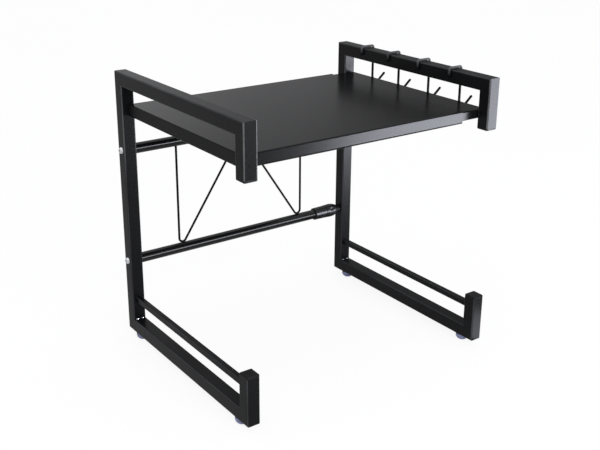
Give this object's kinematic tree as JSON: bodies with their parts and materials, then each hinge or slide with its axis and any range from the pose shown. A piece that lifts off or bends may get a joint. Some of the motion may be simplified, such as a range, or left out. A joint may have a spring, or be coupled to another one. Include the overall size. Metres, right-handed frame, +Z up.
{
  "type": "microwave rack",
  "caption": "Width-adjustable black steel rack with C-shaped side frames, a telescoping tray shelf, telescoping rear tubes with twist locks, a bent brace wire and wire hooks.",
  "frame": {"origin": "on the floor, under the middle of the bounding box", "axes": "+X to the right across the adjustable width, +Y to the rear, +Z up"},
  "size_m": [0.4604, 0.3462, 0.4241],
  "materials": {
    "frame_paint": "satin powder coat",
    "tray_paint": "satin powder coat",
    "tube_paint": "gloss paint",
    "wire_paint": "satin powder coat",
    "plug_plastic": "fine grain",
    "lock_plastic": "semi gloss",
    "zinc": "zinc plate",
    "foot_clear": "clear soft plastic"
  },
  "bodies": {
    "left_side": {"left_rear_post": "frame_paint", "left_top_rail": "frame_paint", "left_drop_post": "frame_paint", "left_base_rail": "frame_paint", "left_stub_post": "frame_paint", "left_guard_rail": "frame_paint", "left_drop_plug": "plug_plastic", "left_stub_plug": "plug_plastic", "left_rear_foot": "foot_clear", "left_front_foot": "foot_clear", "left_tray_screws": "zinc", "left_tray_inserts": "zinc", "left_tube_inserts": "zinc", "left_post_bolts": "zinc", "outer_tray": "tray_paint", "upper_outer_tube": "tube_paint", "lower_outer_tube": "tube_paint", "upper_lock_body": "lock_plastic", "lower_lock_body": "lock_plastic", "upper_lock_collet": "lock_plastic", "lower_lock_collet": "lock_plastic", "brace_wire": "wire_paint"},
    "right_side": {"right_rear_post": "frame_paint", "right_top_rail": "frame_paint", "right_drop_post": "frame_paint", "right_base_rail": "frame_paint", "right_stub_post": "frame_paint", "right_guard_rail": "frame_paint", "right_drop_plug": "plug_plastic", "right_stub_plug": "plug_plastic", "right_rear_foot": "foot_clear", "right_front_foot": "foot_clear", "right_tray_screws": "zinc", "right_tray_inserts": "zinc", "right_tube_inserts": "zinc", "right_post_bolts": "zinc", "right_tray_spacers": "plug_plastic", "inner_tray": "tray_paint", "upper_inner_tube": "tube_paint", "lower_inner_tube": "tube_paint"},
    "upper_grip": {"upper_lock_grip": "lock_plastic"},
    "lower_grip": {"lower_lock_grip": "lock_plastic"},
    "hook_1": {"hook_1": "wire_paint"},
    "hook_2": {"hook_2": "wire_paint"},
    "hook_3": {"hook_3": "wire_paint"},
    "hook_4": {"hook_4": "wire_paint"}
  },
  "joints": [
    {"name": "width_slide", "type": "slide", "parent": "left_side", "child": "right_side", "axis": [1, 0, 0], "range_m": [-0.007, 0.18]},
    {"name": "upper_grip_turn", "type": "hinge", "parent": "left_side", "child": "upper_grip", "pos_m": [0.1616, 0.1619, 0.3028], "axis": [1, 0, 0], "range_deg": [0, 180]},
    {"name": "lower_grip_turn", "type": "hinge", "parent": "left_side", "child": "lower_grip", "pos_m": [0.1616, 0.1619, 0.127], "axis": [1, 0, 0], "range_deg": [0, 180]},
    {"name": "hook_1_slide", "type": "slide", "parent": "right_side", "child": "hook_1", "axis": [0, 1, 0], "range_m": [-0.028, 0.06]},
    {"name": "hook_2_slide", "type": "slide", "parent": "right_side", "child": "hook_2", "axis": [0, 1, 0], "range_m": [-0.03, 0.028]},
    {"name": "hook_3_slide", "type": "slide", "parent": "right_side", "child": "hook_3", "axis": [0, 1, 0], "range_m": [-0.03, 0.03]},
    {"name": "hook_4_slide", "type": "slide", "parent": "right_side", "child": "hook_4", "axis": [0, 1, 0], "range_m": [-0.07, 0.03]}
  ]
}
